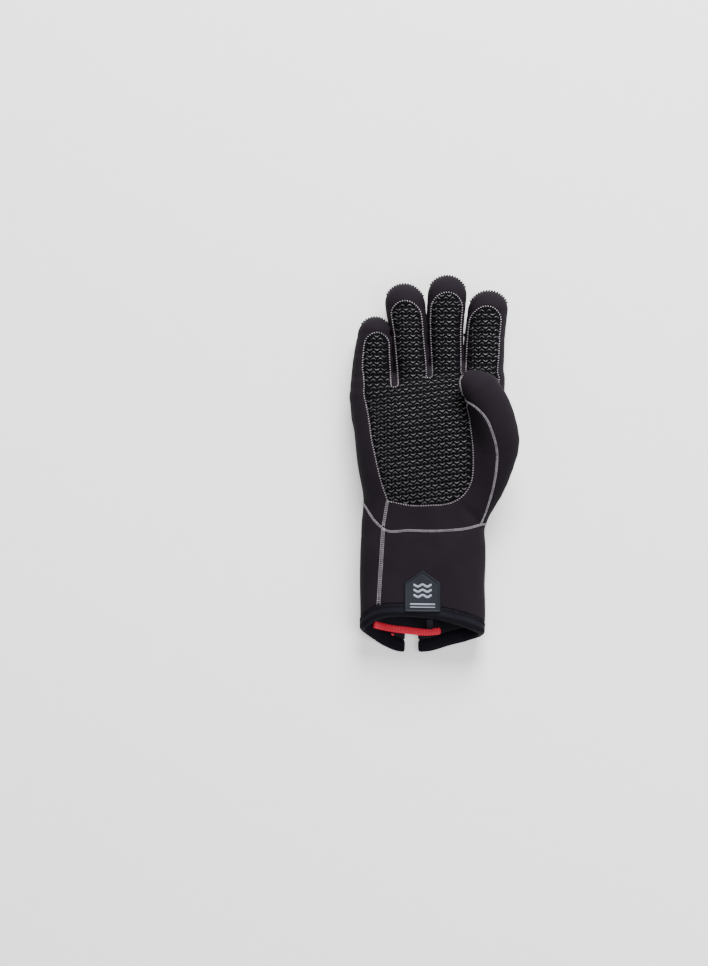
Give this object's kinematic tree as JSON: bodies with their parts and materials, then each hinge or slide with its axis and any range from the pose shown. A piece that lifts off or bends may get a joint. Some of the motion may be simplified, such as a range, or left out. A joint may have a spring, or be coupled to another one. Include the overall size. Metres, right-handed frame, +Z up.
{
  "type": "diving glove",
  "caption": "Padded foam-rubber diving glove with a printed palm grip, a folded thumb and a flared cuff with a zip slit and bound hem.",
  "frame": {"origin": "on the floor, below the middle of the glove's box", "axes": "+Z up out of the palm, +Y along the fingers, +X towards the thumb's side"},
  "size_m": [0.1334, 0.303, 0.0632],
  "materials": {
    "foam_cloth": "matte knit over foam rubber",
    "rubber_print": "knit with raised rubber print",
    "binding_cloth": "matte woven binding",
    "badge_rubber": "satin moulded rubber",
    "red_cloth": "matte stitched binding",
    "zip_plastic": "matte moulded"
  },
  "bodies": {
    "root": {"grip_panel": "rubber_print", "palm_panel": "foam_cloth", "back_panel": "foam_cloth", "thumb_panel": "foam_cloth", "cuff_front_panel": "foam_cloth", "cuff_back_panel": "foam_cloth", "hem_binding": "binding_cloth", "cuff_badge": "badge_rubber", "back_zip": "zip_plastic", "zip_gusset": "foam_cloth", "gusset_binding": "red_cloth", "inner_tab": "binding_cloth"}
  },
  "joints": []
}
